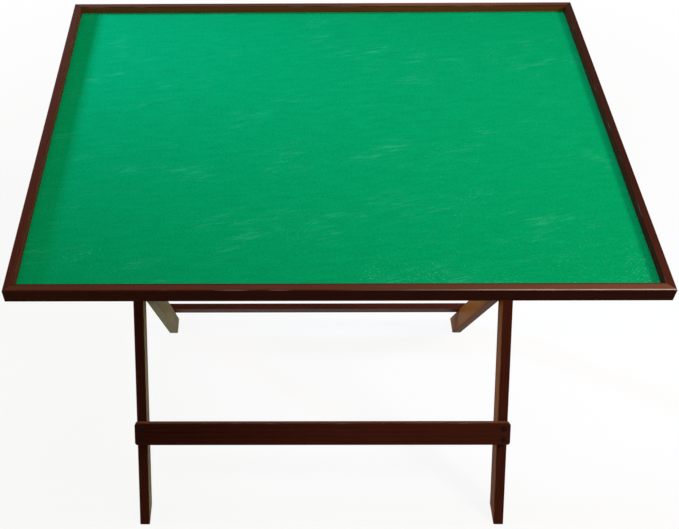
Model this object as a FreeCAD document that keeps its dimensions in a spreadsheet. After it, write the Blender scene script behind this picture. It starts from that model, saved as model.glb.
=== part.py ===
"""Folding jigsaw puzzle table: a rimmed, felt-lined tray on two crossed leg frames.

Millimetres, +X to the right, +Y to the back, +Z up. The origin is on the floor under the middle of the tray.
The outer frame's feet stand at the front and its top is hinged to the tray at the back. The inner frame's
feet stand at the back, and the dowel through its top sits in two notched blocks under the tray's front half.
"""
import FreeCAD, Part
import os
import re
import Sketcher
from FreeCAD import Placement, Rotation, Vector

# Each driving dimension: its name, its value, what it is.
SIZES = (
    ("table_width", 864, "left to right over the rim"),
    ("table_depth", 660, "front to back over the rim"),
    ("table_height", 686, "floor to the top of the rim"),
    ("rim_thickness", 12, "rim board, outside to inside"),
    ("rim_stand", 11, "rim above the felt"),
    ("rim_lip", 3.5, "rim below the panel"),
    ("rim_round", 2, "round of the rim's outer top edge"),
    ("rim_ease", 1, "round of the rim's other long edges"),
    ("groove_depth", 5, "how far the panel enters the rim"),
    ("groove_play", 0.5, "room behind the panel's edge"),
    ("panel_thickness", 6, "plywood floor of the tray"),
    ("felt_thickness", 1.5, "felt on the panel"),
    ("felt_gap", 0.3, "felt's edge to the rim"),
    ("bearer_width", 18, "batten that carries the hinge dowel"),
    ("bearer_wall", 6.5, "wood between that dowel and its underside"),
    ("bearer_end_gap", 18, "its ends to the rim"),
    ("bearer_bevel", 16, "bevel at the bottom of its ends"),
    ("bearer_screw_inset", 70, "its outer screws from its ends"),
    ("batten_width", 40, "cross batten, front to back"),
    ("batten_depth", 18, "its height under the panel"),
    ("batten_gap", 13, "front batten to catch block"),
    ("batten_screw_inset", 34, "its outer screws from its ends"),
    ("leg_width", 18, "leg, left to right"),
    ("leg_depth", 35, "leg, across its slope"),
    ("leg_ease", 1.8, "round of the leg's long edges"),
    ("side_setback", 100, "outer leg's outer face from the tray's side"),
    ("swing_gap", 2, "leg top to panel"),
    ("hinge_setback", 125, "hinge dowel's middle from the tray's back"),
    ("catch_setback", 125, "catch dowel's middle from the tray's front"),
    ("outer_foot_setback", 46, "outer foot's middle from the tray's front"),
    ("inner_foot_setback", 172, "inner foot's middle from the tray's back"),
    ("dowel_diameter", 20, "round rail through the leg tops"),
    ("dowel_play", 0.05, "radial room where it turns"),
    ("dowel_inset", 1, "its end inside the bearer's outer face"),
    ("catch_width", 24, "notched block, left to right"),
    ("catch_side_gap", 8, "block to inner leg"),
    ("catch_play", 0.3, "dowel to the notch"),
    ("catch_lip", 13.7, "wood before the notch"),
    ("catch_heel", 3.7, "wood behind the notch"),
    ("catch_screw_spacing", 12, "between a block's two screws"),
    ("catch_stop", 8, "front lip below the dowel's middle"),
    ("catch_hold", 7, "back lip above the dowel's middle"),
    ("stretcher_width", 41, "flat bar, along the leg"),
    ("stretcher_thickness", 12, "out from the leg"),
    ("stretcher_overhang", 3, "its end past the leg's side"),
    ("stretcher_corner", 5, "round of its corners"),
    ("stretcher_ease", 1.5, "round of its outer edges"),
    ("front_stretcher_rise", 178, "foot to its middle, along the leg"),
    ("rear_stretcher_rise", 92, "foot to its middle, along the leg"),
    ("screw_spacing", 20, "between a stretcher's two screws"),
    ("screw_diameter", 4, "shank"),
    ("screw_head_diameter", 8, "pan head"),
    ("screw_head_depth", 2.4, "pan head"),
    ("screw_head_bevel", 0.8, "pan head"),
    ("screw_tip", 4, "length of its point"),
    ("screw_grip", 20, "how far it enters the leg"),
    ("screw_bite", 5, "how far it enters the panel"),
    ("head_play", 0.5, "radial room around a head in its counterbore under the tray"),
    ("bearer_bore", 16, "its depth in a bearer"),
    ("batten_bore", 3, "its depth in a cross batten"),
    ("catch_bore", 12.5, "its depth in a catch block"),
    ("plug_diameter", 10.5, "round cover over a stretcher's screw"),
    ("plug_bore", 5.5, "depth of its hole"),
    ("plug_proud", 0.8, "how far it stands out"),
    ("bolt_diameter", 6, "pivot bolt"),
    ("bolt_play", 0.05, "radial room where the inner leg turns"),
    ("bolt_head_diameter", 16, "flat round head"),
    ("bolt_head_depth", 3, "flat round head"),
    ("bolt_head_bevel", 3, "flat round head, across"),
    ("bolt_tail", 1.5, "past the nut"),
    ("washer_diameter", 18, "pivot washer"),
    ("washer_thickness", 1.7, "every washer"),
    ("washer_play", 0.3, "room beside a washer where the wood turns"),
    ("hinge_washer_diameter", 32, "washer on the hinge dowel"),
    ("nut_across", 10, "hexagon nut over its flats"),
    ("nut_depth", 5, "hexagon nut"),
    ("pin_diameter", 3, "pin that locks a dowel in its leg"),
    ("pin_length", 30, "such a pin"),
    ("pin_sunk", 0.5, "its end below the leg's face"),
)

# What follows from them, in the sheet's own formula language.
WORKED = {
    "rim_depth": "rim_stand + felt_thickness + panel_thickness + rim_lip",
    "under_panel": "table_height - rim_stand - felt_thickness - panel_thickness",
    "pivot_height": "under_panel - swing_gap - leg_depth / 2",
    "hinge_offset": "table_depth / 2 - hinge_setback",
    "catch_offset": "table_depth / 2 - catch_setback",
    "outer_foot": "table_depth / 2 - outer_foot_setback",
    "inner_foot": "table_depth / 2 - inner_foot_setback",
    "outer_tilt": "atan((hinge_offset + outer_foot) / pivot_height)",
    "inner_tilt": "atan((catch_offset + inner_foot) / pivot_height)",
    "cross_height": "(outer_foot + inner_foot) / (tan(outer_tilt) + tan(inner_tilt))",
    "outer_drop": "(pivot_height - cross_height) / cos(outer_tilt)",
    "inner_drop": "(pivot_height - cross_height) / cos(inner_tilt)",
    "outer_length": "pivot_height / cos(outer_tilt)",
    "inner_length": "pivot_height / cos(inner_tilt)",
    "turn_gap": "washer_thickness + washer_play",
    "leg_spread": "table_width - 2 * side_setback",
    "outer_leg_x": "(leg_spread - leg_width) / 2",
    "inner_leg_x": "outer_leg_x - leg_width - turn_gap",
    "bearer_x": "leg_spread / 2 + turn_gap + bearer_width / 2",
    "bearer_depth": "swing_gap + leg_depth / 2 + dowel_diameter / 2 + bearer_wall",
    "bearer_length": "table_depth - 2 * (rim_thickness + bearer_end_gap)",
    "bearer_screw_y": "bearer_length / 2 - bearer_screw_inset",
    "catch_x": "inner_leg_x - leg_width / 2 - catch_side_gap - catch_width / 2",
    "catch_seat": "dowel_diameter / 2 + catch_play",
    "catch_front": "catch_seat + catch_lip",
    "catch_back": "catch_seat + catch_heel",
    "catch_screw_y": "-catch_offset - catch_seat - catch_lip / 2",
    "batten_length": "leg_spread + 2 * turn_gap",
    "batten_offset": "catch_offset + catch_front + batten_gap + batten_width / 2",
    "batten_screw_x": "batten_length / 2 - batten_screw_inset",
    "bore_diameter": "screw_head_diameter + 2 * head_play",
    "felt_width": "table_width - 2 * rim_thickness - 2 * felt_gap",
    "felt_depth": "table_depth - 2 * rim_thickness - 2 * felt_gap",
    "panel_inset": "rim_thickness - groove_depth + groove_play",
}

PAST = "1"  # how far a cutting outline reaches beyond the solid
NUT_FLATS = 6
ON_AXIS = 1e-9  # a sketch point nearer than this to an axis lies on it

doc = FreeCAD.newDocument("puzzle_table")
sheet = doc.addObject("Spreadsheet::Sheet", "Size")
for row, (alias, value, meaning) in enumerate(SIZES, start=1):
    sheet.set(f"A{row}", alias)
    sheet.set(f"B{row}", str(value))
    sheet.set(f"C{row}", meaning)
    sheet.setAlias(f"B{row}", alias)
doc.recompute()

ALIASES = {alias for alias, value, meaning in SIZES}
nodes = []


# ---------------------------------------------------------------- sizes and places

def formula(text):
    """The sheet's formula for a text that uses driving and worked names."""
    def whole(match):
        word = match.group(0)
        if word in WORKED:
            return f"({formula(WORKED[word])})"
        return f"Size.{word}" if word in ALIASES else word
    return re.sub(r"[a-z_]+", whole, text)


def number(text):
    """What a formula comes to now, as a plain number."""
    result = sheet.evalExpression(formula(text))
    return float(getattr(result, "Value", result))


def bind(thing, **formulas):
    """Bind an object's properties to formulas; a double underscore in a name stands for a dot."""
    for name, text in formulas.items():
        thing.setExpression(name.replace("__", "."), formula(text))


def place(thing, x="0", y="0", z="0"):
    """Bind an object's position to formulas."""
    bind(thing, Placement__Base__x=x, Placement__Base__y=y, Placement__Base__z=z)


def tilt(thing, frame, x="0"):
    """Put an object, drawn with its frame's top dowel as origin and its legs upright, into that frame."""
    thing.Placement = Placement(Vector(), Rotation(Vector(1, 0, 0), 1))
    if frame == "outer":
        place(thing, x, "hinge_offset", "pivot_height")
        bind(thing, Placement__Rotation__Angle="-outer_tilt")
    else:
        place(thing, x, "-catch_offset", "pivot_height")
        bind(thing, Placement__Rotation__Angle="inner_tilt")


# ---------------------------------------------------------------- sketches and features

def body(name):
    """An empty body that becomes one sub-part."""
    made = doc.addObject("PartDesign::Body", name)
    nodes.append(made)
    return made


def sketch(owner, plane, height="0"):
    """A sketch on one of the body's own origin planes, raised along that plane's normal."""
    made = owner.newObject("Sketcher::SketchObject", f"{owner.Name}_sketch")
    base = next(f for f in owner.Origin.OriginFeatures if f.Role == plane)
    made.AttachmentSupport = [(base, "")]
    made.MapMode = "FlatFace"
    bind(made, AttachmentOffset__Base__z=height)
    return made


def fix_point(drawing, piece, point, x, y):
    """Hold one point of a sketch at the place that two formulas give."""
    for kind, text, axis in (("DistanceX", x, -2), ("DistanceY", y, -1)):
        if abs(number(text)) < ON_AXIS:
            drawing.addConstraint(Sketcher.Constraint("PointOnObject", piece, point, axis))
            continue
        index = drawing.addConstraint(Sketcher.Constraint(kind, -1, 1, piece, point, number(text)))
        drawing.setExpression(f"Constraints[{index}]", formula(text))


def outline(drawing, corners):
    """A closed outline of straight lines through corners, each a pair of formulas."""
    first = drawing.GeometryCount
    spots = [Vector(number(x), number(y), 0) for x, y in corners]
    for spot, following in zip(spots, spots[1:] + spots[:1]):
        drawing.addGeometry(Part.LineSegment(spot, following), False)
    for index, (x, y) in enumerate(corners):
        following = first + (index + 1) % len(corners)
        drawing.addConstraint(Sketcher.Constraint("Coincident", first + index, 2, following, 1))
    for index, (x, y) in enumerate(corners):
        fix_point(drawing, first + index, 1, x, y)


def rectangle(drawing, width, height, x="0", y="0"):
    """A rectangle about a middle point."""
    left, right = f"{x} - ({width}) / 2", f"{x} + ({width}) / 2"
    low, high = f"{y} - ({height}) / 2", f"{y} + ({height}) / 2"
    outline(drawing, [(left, low), (right, low), (right, high), (left, high)])


def circle(drawing, diameter, x="0", y="0"):
    """A circle about a middle point."""
    middle = Vector(number(x), number(y), 0)
    piece = drawing.addGeometry(Part.Circle(middle, Vector(0, 0, 1), number(diameter) / 2), False)
    fix_point(drawing, piece, 3, x, y)
    index = drawing.addConstraint(Sketcher.Constraint("Diameter", piece, number(diameter)))
    drawing.setExpression(f"Constraints[{index}]", formula(diameter))


def pad(owner, drawing, length):
    """Pad a sketch by half the length to each side of its plane."""
    made = owner.newObject("PartDesign::Pad", f"{owner.Name}_pad")
    made.Profile = drawing
    made.SideType = "Symmetric"
    bind(made, Length=length)
    doc.recompute()
    return made


def sink(owner, drawing, depth=None):
    """Cut a sketch that lies in a face into the solid by depth, or right through both ways."""
    before = owner.Shape.Volume
    made = owner.newObject("PartDesign::Pocket", f"{owner.Name}_pocket")
    made.Profile = drawing
    made.SideType = "Symmetric"
    if depth is None:
        made.Type = "ThroughAll"
    else:
        bind(made, Length=f"2 * ({depth})")
    doc.recompute()
    if not made.Shape.Volume < before:
        raise RuntimeError(f"{made.Name} cuts nothing")
    return made


def ease(owner, radius, wanted):
    """Round the edges of the body's last feature whose middle point the test accepts."""
    base = owner.Tip
    picked = []
    for index, edge in enumerate(base.Shape.Edges, start=1):
        middle = edge.valueAt((edge.FirstParameter + edge.LastParameter) / 2)
        if wanted(edge, middle):
            picked.append(f"Edge{index}")
    if not picked:
        raise RuntimeError(f"{owner.Name} has no such edge to round")
    made = owner.newObject("PartDesign::Fillet", f"{owner.Name}_round")
    made.Base = (base, picked)
    bind(made, Radius=radius)
    doc.recompute()


def runs_along(edge, axis):
    """Whether an edge is straight and parallel to an axis."""
    straight = isinstance(edge.Curve, Part.Line)
    return straight and abs(abs(edge.tangentAt(edge.FirstParameter).dot(axis)) - 1) < 1e-6


def near(value, text):
    """Whether a coordinate equals what a formula comes to."""
    return abs(value - number(text)) < 1e-4


def turned(name, corners):
    """A body turned about its Z axis from a half outline in X and Z."""
    made = doc.addObject("PartDesign::Body", name)
    drawing = sketch(made, "XZ_Plane")
    outline(drawing, corners)
    spun = made.newObject("PartDesign::Revolution", f"{name}_turn")
    spun.Profile = drawing
    spun.ReferenceAxis = (drawing, ["V_Axis"])
    spun.Angle = 360
    doc.recompute()
    return made


def group(name, pattern, spots, axis=(0, 0, 1), angle=0, frame=None):
    """Copies of a pattern body at spots, as one sub-part of separate solids."""
    copies = []
    for index, spot in enumerate(spots):
        copy = doc.addObject("App::Link", f"{name}_{index}")
        copy.LinkedObject = pattern
        turn = angle[index] if isinstance(angle, tuple) else angle
        copy.Placement = Placement(Vector(), Rotation(Vector(*axis), turn))
        place(copy, *spot)
        copies.append(copy)
    made = doc.addObject("Part::Compound", name)
    made.Links = copies
    if frame:
        tilt(made, frame)
    nodes.append(made)
    return made


# ---------------------------------------------------------------- tray

GROOVE_TOP = "-(rim_stand + felt_thickness)"
GROOVE_FLOOR = "-(rim_stand + felt_thickness + panel_thickness)"


def rim_board(name, length, x, y, turn):
    """One rim board: grooved for the panel, its long edges rounded and its ends mitred."""
    board = body(name)
    profile = sketch(board, "YZ_Plane")
    groove_back = "rim_thickness - groove_depth"
    outline(profile, [
        ("0", "0"), ("rim_thickness", "0"), ("rim_thickness", GROOVE_TOP), (groove_back, GROOVE_TOP),
        (groove_back, GROOVE_FLOOR), ("rim_thickness", GROOVE_FLOOR), ("rim_thickness", "-rim_depth"),
        ("0", "-rim_depth")])
    pad(board, profile, length)
    along = Vector(1, 0, 0)
    ease(board, "rim_round", lambda edge, at: runs_along(edge, along) and near(at.y, "0") and near(at.z, "0"))
    ease(board, "rim_ease", lambda edge, at: runs_along(edge, along) and (
        (near(at.y, "rim_thickness") and near(at.z, "0")) or near(at.z, "-rim_depth")))
    mitres = sketch(board, "XY_Plane")
    for side in ("", "-"):
        tip, root = f"{side}({length}) / 2", f"{side}(({length}) / 2 - rim_thickness)"
        past = f"{side}(({length}) / 2 + {PAST})"
        inside = f"{side}(({length}) / 2 - rim_thickness - {PAST})"
        outline(mitres, [(tip, "0"), (past, f"-{PAST}"), (past, f"rim_thickness + {PAST}"),
                         (inside, f"rim_thickness + {PAST}"), (root, "rim_thickness")])
    sink(board, mitres)
    board.Placement = Placement(Vector(), Rotation(Vector(0, 0, 1), turn))
    place(board, x, y, "table_height")


rim_board("front_rim", "table_width", "0", "-table_depth / 2", 0)
rim_board("back_rim", "table_width", "0", "table_depth / 2", 180)
rim_board("left_rim", "table_depth", "-table_width / 2", "0", 270)
rim_board("right_rim", "table_depth", "table_width / 2", "0", 90)

ALONG_BEARER = ("-bearer_screw_y", "0", "bearer_screw_y")
ALONG_BATTEN = ("-batten_screw_x", "-batten_screw_x / 3", "batten_screw_x / 3", "batten_screw_x")
BEARER_SCREWS = [(side, along) for side in ("-", "") for along in ALONG_BEARER]
BATTEN_SCREWS = [(across, side) for side in ("-", "") for across in ALONG_BATTEN]
CATCH_SCREWS = [(side, f"{shift}catch_screw_spacing / 2") for side in ("-", "") for shift in ("-", "")]

panel_screws = [(f"{side}bearer_x", along) for side, along in BEARER_SCREWS]
panel_screws += [(across, f"{side}batten_offset") for across, side in BATTEN_SCREWS]
panel_screws += [(f"{side}catch_x + {shift}", "catch_screw_y") for side, shift in CATCH_SCREWS]


def base_panel():
    """The plywood floor, held in the rim's grooves, with a blind pilot hole for each screw from below."""
    panel = body("base_panel")
    plan = sketch(panel, "XY_Plane", "panel_thickness / 2")
    rectangle(plan, "table_width - 2 * panel_inset", "table_depth - 2 * panel_inset")
    pad(panel, plan, "panel_thickness")
    pilots = sketch(panel, "XY_Plane")
    for x, y in panel_screws:
        circle(pilots, "screw_diameter", x, y)
    sink(panel, pilots, "screw_bite")
    place(panel, z="under_panel")


def felt_surface():
    """The felt that lines the tray's floor."""
    felt = doc.addObject("Part::Box", "felt_surface")
    bind(felt, Length="felt_width", Width="felt_depth", Height="felt_thickness")
    place(felt, "-felt_width / 2", "-felt_depth / 2", "under_panel + panel_thickness")
    nodes.append(felt)


def bearer(name, side):
    """A batten under the panel, front to back, bored for the hinge dowel."""
    made = body(name)
    profile = sketch(made, "YZ_Plane")
    end, bevel_end = "bearer_length / 2", "(bearer_length / 2 - bearer_bevel)"
    bevel_top = "-bearer_depth + bearer_bevel"
    outline(profile, [
        (f"-{end}", "0"), (f"-{end}", bevel_top), (f"-{bevel_end}", "-bearer_depth"),
        (bevel_end, "-bearer_depth"), (end, bevel_top), (end, "0")])
    pad(made, profile, "bearer_width")
    eye = sketch(made, "YZ_Plane")
    circle(eye, "dowel_diameter + 2 * dowel_play", "hinge_offset", "pivot_height - under_panel")
    sink(made, eye)
    spots = [("0", along) for screw_side, along in BEARER_SCREWS if screw_side == side]
    screw_holes(made, spots, "bearer_depth", "bearer_bore")
    place(made, f"{side}bearer_x", "0", "under_panel")


def screw_holes(owner, spots, depth, bore):
    """Holes for screws driven up from the underside at the given depth: a shank hole and a counterbore."""
    shanks = sketch(owner, "XY_Plane")
    heads = sketch(owner, "XY_Plane", f"-({depth})")
    for x, y in spots:
        circle(shanks, "screw_diameter", x, y)
        circle(heads, "bore_diameter", x, y)
    sink(owner, shanks)
    sink(owner, heads, bore)


def cross_batten(name, side):
    """A batten under the panel, left to right, that keeps the thin floor flat."""
    made = body(name)
    plan = sketch(made, "XY_Plane", "-batten_depth / 2")
    rectangle(plan, "batten_length", "batten_width")
    pad(made, plan, "batten_depth")
    spots = [(across, "0") for across, screw_side in BATTEN_SCREWS if screw_side == side]
    screw_holes(made, spots, "batten_depth", "batten_bore")
    place(made, "0", f"{side}batten_offset", "under_panel")


def catch_block(name, side):
    """A block with a notch, open below, that drops over the catch dowel: a deep front lip takes the
    frames' spread and a shallow back lip keeps the dowel in until the tray is lifted."""
    made = body(name)
    top = "under_panel - pivot_height"
    profile = sketch(made, "YZ_Plane")
    outline(profile, [
        ("-catch_front", top), ("catch_back", top), ("catch_back", "catch_hold"), ("0", "catch_hold"),
        ("0", "0"), ("-catch_seat", "0"), ("-catch_seat", "-catch_stop"), ("-catch_front", "-catch_stop")])
    pad(made, profile, "catch_width")
    round_seat = sketch(made, "YZ_Plane")
    circle(round_seat, "2 * catch_seat")
    sink(made, round_seat)
    spots = [(shift, "catch_screw_y + catch_offset") for block, shift in CATCH_SCREWS if block == side]
    screw_holes(made, spots, "catch_stop", "catch_bore")
    place(made, f"{side}catch_x", "-catch_offset", "pivot_height")


base_panel()
felt_surface()
bearer("left_bearer", "-")
bearer("right_bearer", "")
cross_batten("front_batten", "-")
cross_batten("rear_batten", "")
catch_block("left_catch_block", "-")
catch_block("right_catch_block", "")


# ---------------------------------------------------------------- leg frames

OUTWARD = {"outer": "-1", "inner": "1"}  # the side of a frame's legs, along Y, that carries its stretcher


def leg(name, frame, side):
    """A straight leg: round top, foot cut flat on the floor, bored for dowel, pin, bolt and screws."""
    outer = frame == "outer"
    slope = "tan(outer_tilt)" if outer else "-tan(inner_tilt)"
    face, back = OUTWARD[frame], OUTWARD["inner" if outer else "outer"]
    made = body(name)
    profile = sketch(made, "YZ_Plane")
    outline(profile, [
        ("-leg_depth / 2", "0"), ("leg_depth / 2", "0"),
        ("leg_depth / 2", f"-{frame}_length + leg_depth / 2 * {slope}"),
        ("-leg_depth / 2", f"-{frame}_length - leg_depth / 2 * {slope}")])
    pad(made, profile, "leg_width")
    crown = sketch(made, "YZ_Plane")
    circle(crown, "leg_depth")
    pad(made, crown, "leg_width")
    ease(made, "leg_ease", lambda edge, at: runs_along(edge, Vector(0, 0, 1)))
    holes = sketch(made, "YZ_Plane")
    circle(holes, "dowel_diameter")
    bolt_hole = "bolt_diameter" if outer else "bolt_diameter + 2 * bolt_play"
    circle(holes, bolt_hole, "0", f"-{frame}_drop")
    sink(made, holes)
    pin_hole = sketch(made, "XZ_Plane", f"-({back} * leg_depth / 2)")
    circle(pin_hole, "pin_diameter")
    sink(made, pin_hole, "pin_length + pin_sunk")
    pilots = sketch(made, "XZ_Plane", f"-({face} * leg_depth / 2)")
    for height in stretcher_screw_heights(frame):
        circle(pilots, "screw_diameter", "0", height)
    sink(made, pilots, "screw_grip")
    tilt(made, frame, f"{side}{frame}_leg_x")


def stretcher_height(frame):
    """A stretcher's middle in its frame: its rise from the foot along the leg's outer face."""
    rise = "front_stretcher_rise" if frame == "outer" else "rear_stretcher_rise"
    return f"-{frame}_length - leg_depth / 2 * tan({frame}_tilt) + {rise}"


def stretcher_screw_heights(frame):
    """Its lower and upper screws."""
    middle = stretcher_height(frame)
    return f"{middle} - screw_spacing / 2", f"{middle} + screw_spacing / 2"


def stretcher(name, frame, overhang):
    """A flat bar across the outer faces of a frame's legs, with two bores at each end for screw and plug."""
    outward = OUTWARD[frame]
    made = body(name)
    middle = f"{outward} * (leg_depth / 2 + stretcher_thickness / 2)"
    elevation = sketch(made, "XZ_Plane", f"-({middle})")
    span = f"2 * ({frame}_leg_x + leg_width / 2 + {overhang})"
    height = stretcher_height(frame)
    rectangle(elevation, span, "stretcher_width", "0", height)
    pad(made, elevation, "stretcher_thickness")
    ease(made, "stretcher_corner", lambda edge, at: runs_along(edge, Vector(0, 1, 0)))
    outer_face = f"{outward} * (leg_depth / 2 + stretcher_thickness)"
    ease(made, "stretcher_ease", lambda edge, at: near(at.y, outer_face))
    shanks = sketch(made, "XZ_Plane")
    bores = sketch(made, "XZ_Plane", f"-({outer_face})")
    for side in ("-", ""):
        for screw_height in stretcher_screw_heights(frame):
            circle(shanks, "screw_diameter", f"{side}{frame}_leg_x", screw_height)
            circle(bores, "plug_diameter", f"{side}{frame}_leg_x", screw_height)
    sink(made, shanks)
    sink(made, bores, "plug_bore")
    tilt(made, frame)


def dowel(name, frame, span):
    """The round rail through a frame's leg tops, cross-bored for the pins."""
    made = body(name)
    section = sketch(made, "YZ_Plane")
    circle(section, "dowel_diameter")
    pad(made, section, span)
    pin_holes = sketch(made, "XZ_Plane")
    for side in ("-", ""):
        circle(pin_holes, "pin_diameter", f"{side}{frame}_leg_x", "0")
    sink(made, pin_holes)
    tilt(made, frame)


leg("left_outer_leg", "outer", "-")
leg("right_outer_leg", "outer", "")
leg("left_inner_leg", "inner", "-")
leg("right_inner_leg", "inner", "")
stretcher("front_stretcher", "outer", "stretcher_overhang")
stretcher("rear_stretcher", "inner", "0")
dowel("hinge_dowel", "outer", "leg_spread + 2 * (turn_gap + bearer_width - dowel_inset)")
dowel("catch_dowel", "inner", "2 * inner_leg_x + leg_width")


# ---------------------------------------------------------------- fasteners

def screw(name, length):
    """A pan-head screw pointing up its Z axis, with the head's underside at zero."""
    return turned(name, [
        ("0", "-screw_head_depth"), ("screw_head_diameter / 2 - screw_head_bevel", "-screw_head_depth"),
        ("screw_head_diameter / 2", "-screw_head_depth + screw_head_bevel"),
        ("screw_head_diameter / 2", "0"),
        ("screw_diameter / 2", "0"), ("screw_diameter / 2", f"({length}) - screw_tip"), ("0", length)])


def washer(name, diameter, hole):
    """A flat ring that stands on the XY plane."""
    return turned(name, [
        (f"({hole}) / 2", "0"), (f"({diameter}) / 2", "0"), (f"({diameter}) / 2", "washer_thickness"),
        (f"({hole}) / 2", "washer_thickness")])


def tray_fasteners():
    """The screws that hold the bearers, battens and catch blocks to the panel."""
    bearer_screw = screw("bearer_screw", "bearer_depth - bearer_bore + screw_bite")
    batten_screw = screw("batten_screw", "batten_depth - batten_bore + screw_bite")
    catch_screw = screw("catch_screw", "under_panel - pivot_height + catch_stop - catch_bore + screw_bite")
    group("bearer_screws", bearer_screw, [
        (f"{side}bearer_x", along, "under_panel - bearer_depth + bearer_bore")
        for side, along in BEARER_SCREWS])
    group("batten_screws", batten_screw, [
        (across, f"{side}batten_offset", "under_panel - batten_depth + batten_bore")
        for across, side in BATTEN_SCREWS])
    group("catch_block_screws", catch_screw, [
        (f"{side}catch_x + {shift}", "catch_screw_y", "pivot_height - catch_stop + catch_bore")
        for side, shift in CATCH_SCREWS])


def stretcher_fasteners():
    """Each stretcher's four screws, and the round plugs that cover them."""
    long_screw = screw("stretcher_screw", "stretcher_thickness - plug_bore + screw_grip")
    rim, dome = "plug_diameter / 2", "(plug_bore - screw_head_depth + plug_proud)"
    plug = turned("plug", [
        ("0", "0"), (rim, "0"), (rim, f"{dome} - plug_proud"), (f"{rim} - plug_proud", dome), ("0", dome)])
    for name, frame, outward, turn in (("front", "outer", "-", -90), ("rear", "inner", "", 90)):
        head_seat = f"{outward}(leg_depth / 2 + stretcher_thickness - plug_bore)"
        plug_seat = f"{outward}(leg_depth / 2 + stretcher_thickness - plug_bore + screw_head_depth)"
        spots = [(f"{side}{frame}_leg_x", height)
                 for side in ("-", "") for height in stretcher_screw_heights(frame)]
        group(f"{name}_stretcher_screws", long_screw, [(x, head_seat, z) for x, z in spots],
              (1, 0, 0), turn, frame)
        group(f"{name}_stretcher_plugs", plug, [(x, plug_seat, z) for x, z in spots],
              (1, 0, 0), -turn, frame)


def pivot_hardware():
    """Bolts, washers and nuts where the legs cross; all of it turns with the outer frame."""
    grip = "2 * (leg_width + turn_gap)"
    head = "bolt_head_diameter / 2"
    bolt = turned("pivot_bolt", [
        ("0", "-bolt_head_depth"), (f"{head} - bolt_head_bevel", "-bolt_head_depth"),
        (head, "-bolt_head_depth / 2"), (head, "0"),
        ("bolt_diameter / 2", "0"), ("bolt_diameter / 2", f"{grip} + nut_depth + bolt_tail"),
        ("0", f"{grip} + nut_depth + bolt_tail")])
    ring = washer("pivot_washer", "washer_diameter", "bolt_diameter")
    level = "-outer_drop"
    for name, side, turn in (("left_pivot_bolt", "-", 90), ("right_pivot_bolt", "", -90)):
        group(name, bolt, [(f"{side}leg_spread / 2", "0", level)], (0, 1, 0), turn, "outer")
    between = "(leg_spread / 2 - leg_width)"
    under_nut = "(inner_leg_x - leg_width / 2 - washer_play)"
    spots = [(f"{side}{seat}", "0", level) for seat in (between, under_nut) for side in ("-", "")]
    group("pivot_washers", ring, spots, (0, 1, 0), (90, -90, 90, -90), "outer")
    nut = doc.addObject("PartDesign::Body", "pivot_nut")
    plan = sketch(nut, "XY_Plane", "nut_depth / 2")
    circumradius = f"nut_across / 2 / cos(180 / {NUT_FLATS})"
    corners = [360 / NUT_FLATS * corner for corner in range(NUT_FLATS)]
    outline(plan, [(f"{circumradius} * cos({turn})", f"{circumradius} * sin({turn})") for turn in corners])
    pad(nut, plan, "nut_depth")
    thread = sketch(nut, "XY_Plane")
    circle(thread, "bolt_diameter")
    sink(nut, thread)
    seat = "(inner_leg_x - leg_width / 2 - turn_gap)"
    group("pivot_nuts", nut, [(f"-{seat}", "0", level), (seat, "0", level)], (0, 1, 0), (90, -90), "outer")
    hinge_ring = washer("hinge_washer", "hinge_washer_diameter", "dowel_diameter")
    group("hinge_washers", hinge_ring, [("-leg_spread / 2", "0", "0"), ("leg_spread / 2", "0", "0")],
          (0, 1, 0), (-90, 90), "outer")


def dowel_pins():
    """The pins that lock each dowel in its two legs, driven in from the faces that carry no stretcher."""
    pin = turned("dowel_pin", [
        ("0", "0"), ("pin_diameter / 2", "0"), ("pin_diameter / 2", "pin_length"), ("0", "pin_length")])
    for name, frame, face, turn in (("hinge", "outer", "", 90), ("catch", "inner", "-", -90)):
        spots = [(f"{side}{frame}_leg_x", f"{face}(leg_depth / 2 - pin_sunk)", "0") for side in ("-", "")]
        group(f"{name}_dowel_pins", pin, spots, (1, 0, 0), turn, frame)


tray_fasteners()
stretcher_fasteners()
pivot_hardware()
dowel_pins()


# ---------------------------------------------------------------- checks and files

doc.recompute()
faults = [thing.Name for thing in doc.Objects if {"Invalid", "Error"} & set(thing.State)]
faults += [node.Label for node in nodes if node.Shape.isNull() or not node.Shape.isValid()]
if faults:
    raise RuntimeError(f"failed objects: {faults}")
os.makedirs("parts", exist_ok=True)
for node in nodes:
    node.Shape.exportStep(f"parts/{node.Label}.step")
    box = node.Shape.BoundBox
    print(f"{node.Label}: {len(node.Shape.Solids)} solid(s), {box.XLength:.1f} x {box.YLength:.1f} x "
          f"{box.ZLength:.1f} mm, volume {node.Shape.Volume / 1000:.1f} cm3")
for name in ("pivot_height", "outer_tilt", "inner_tilt", "cross_height", "outer_drop", "inner_drop"):
    print(f"{name} = {number(name):.4f}")
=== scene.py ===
"""Finish and staging of a folding jigsaw table: stained and lacquered hardwood, wool felt, zinc-plated steel.

Metres, +X to the right, +Y to the back, +Z up, with the floor at zero under the middle of the tray. The
boards, legs and rails are the frame's own nodes with a finish. The felt and the small hardware are
modelled here, each in its node's place.
"""
import math

import bpy
import numpy as np
from mathutils import Matrix, Vector


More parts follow.
